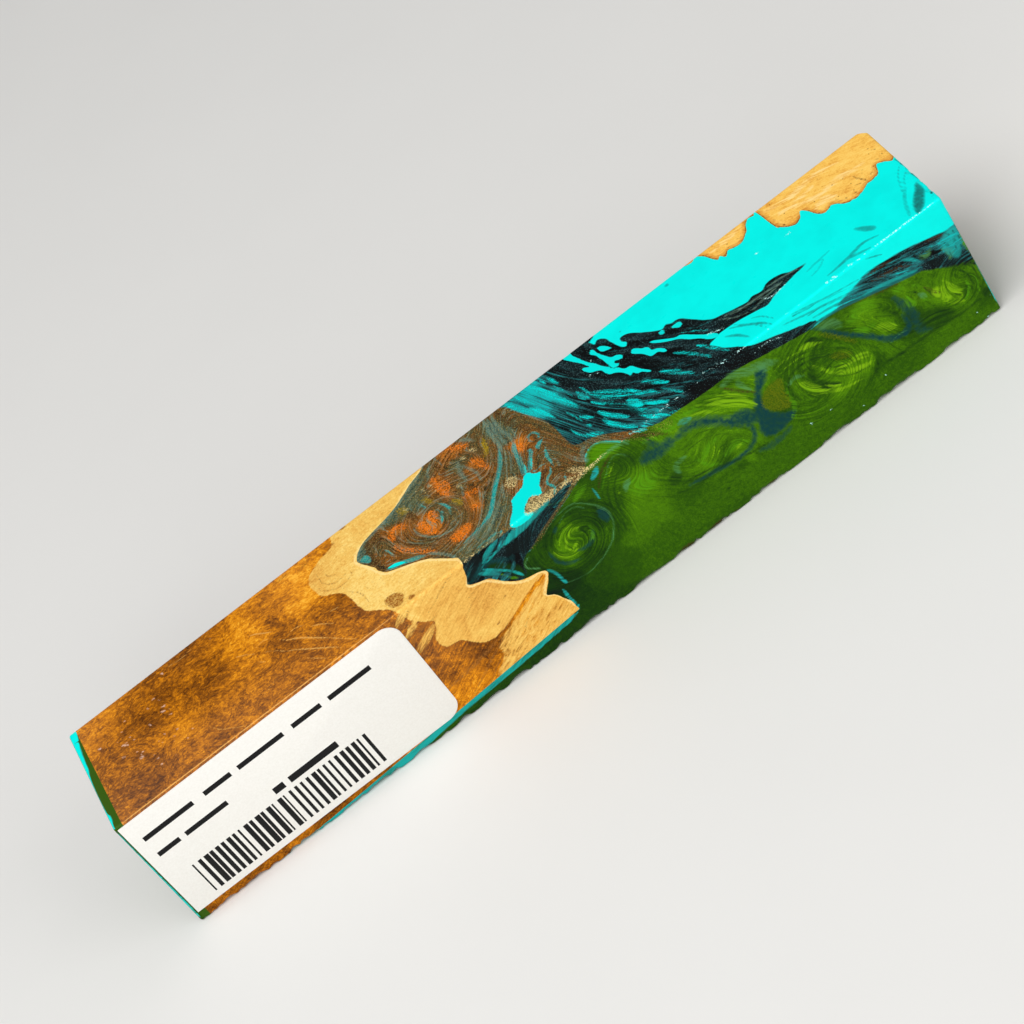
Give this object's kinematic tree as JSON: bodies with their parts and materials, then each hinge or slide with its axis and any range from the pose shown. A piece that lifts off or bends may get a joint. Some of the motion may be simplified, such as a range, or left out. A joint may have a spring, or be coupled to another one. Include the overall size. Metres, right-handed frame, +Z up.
{
  "type": "hybrid pen blank",
  "caption": "Square bar of burl wood cast in dyed resin, sawn to size for drilling and turning into a pen barrel, with a paper label on one face.",
  "frame": {"origin": "middle of the underside of the blank's bounding box, on the surface that it lies on", "axes": "+X along the blank, from the labelled end to the turquoise end; -Y is the face with the label; +Z up"},
  "size_m": [0.1269, 0.021, 0.0205],
  "materials": {
    "dyed_resin": "cast acrylic-like resin in turquoise, black, copper and green swirls, sawn and lightly polished, satin gloss",
    "burl_wood": "stabilised burl, brown to orange heartwood with cream sapwood, sawn and lightly polished, satin",
    "pale_burl_wood": "stabilised burl sapwood, pale orange with a dark live edge, satin",
    "paper": "off-white coated label paper with plain dark print, matte"
  },
  "bodies": {
    "root": {"resin": "dyed_resin", "burl_main": "burl_wood", "burl_corner": "pale_burl_wood", "label": "paper"}
  },
  "joints": []
}
